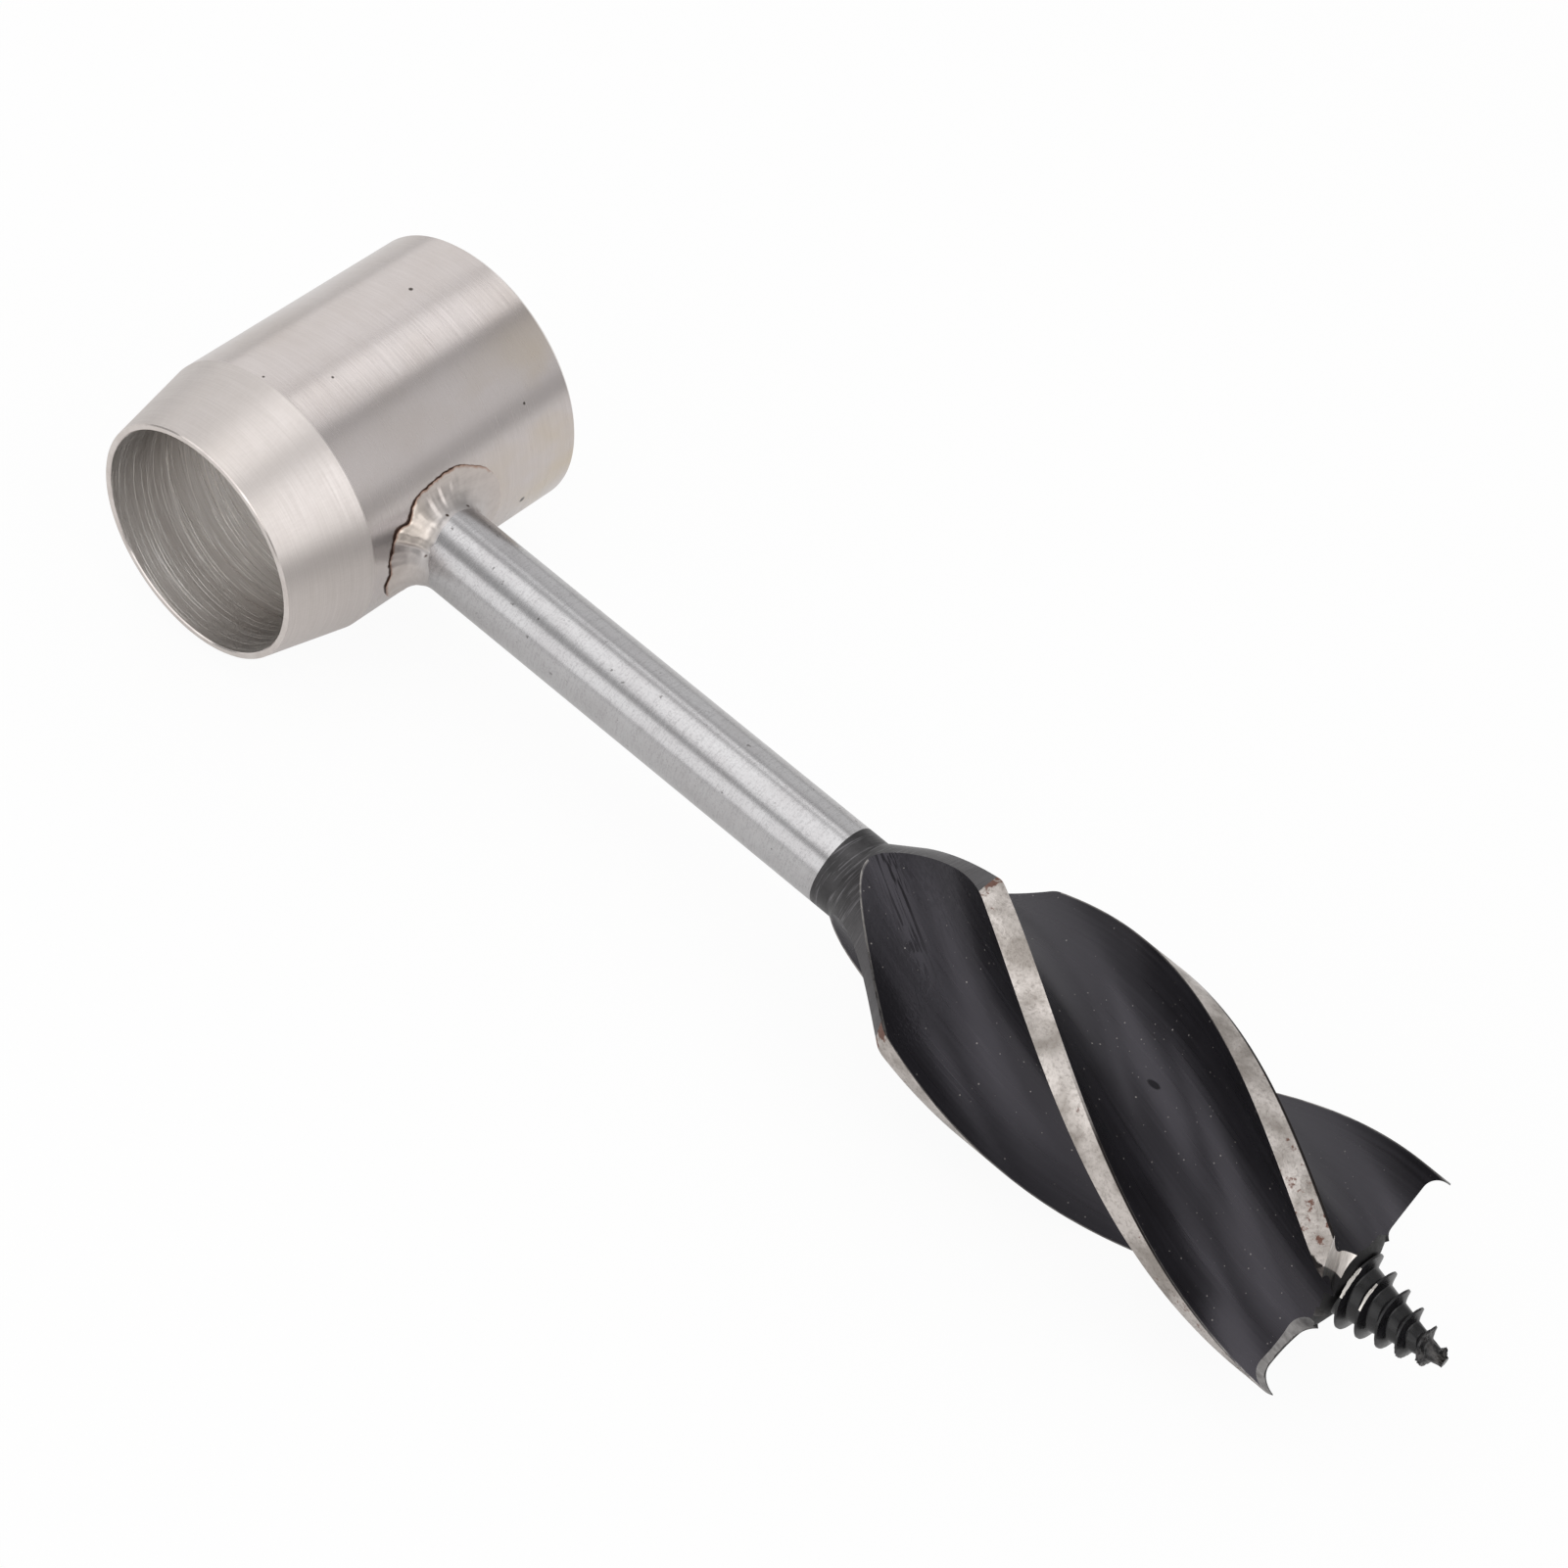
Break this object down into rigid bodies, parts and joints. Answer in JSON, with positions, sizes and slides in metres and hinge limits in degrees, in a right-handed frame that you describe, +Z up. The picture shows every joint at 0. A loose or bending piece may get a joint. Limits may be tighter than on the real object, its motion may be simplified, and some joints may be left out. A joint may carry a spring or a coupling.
{
  "type": "hand wood auger",
  "caption": "Eye auger for boring wood by hand: a tapered steel sleeve that takes a stick as its handle, welded across a fluted bit with spurs, lips and a lead screw.",
  "frame": {"origin": "centre of the bounding box on the bench the tool lies on", "axes": "+Z up from the bench, +X from the eye to the lead screw, Y along the eye, its tapered mouth towards -Y"},
  "size_m": [0.1572, 0.038, 0.03],
  "materials": {
    "brushed_stainless": "brushed",
    "ground_weld": "ground",
    "ground_steel": "ground",
    "black_oxide_steel": "satin black oxide"
  },
  "bodies": {
    "root": {"eye_sleeve": "brushed_stainless", "weld_bead": "ground_weld", "shank": "ground_steel", "fluted_head": "black_oxide_steel", "lead_screw": "black_oxide_steel"}
  },
  "joints": []
}
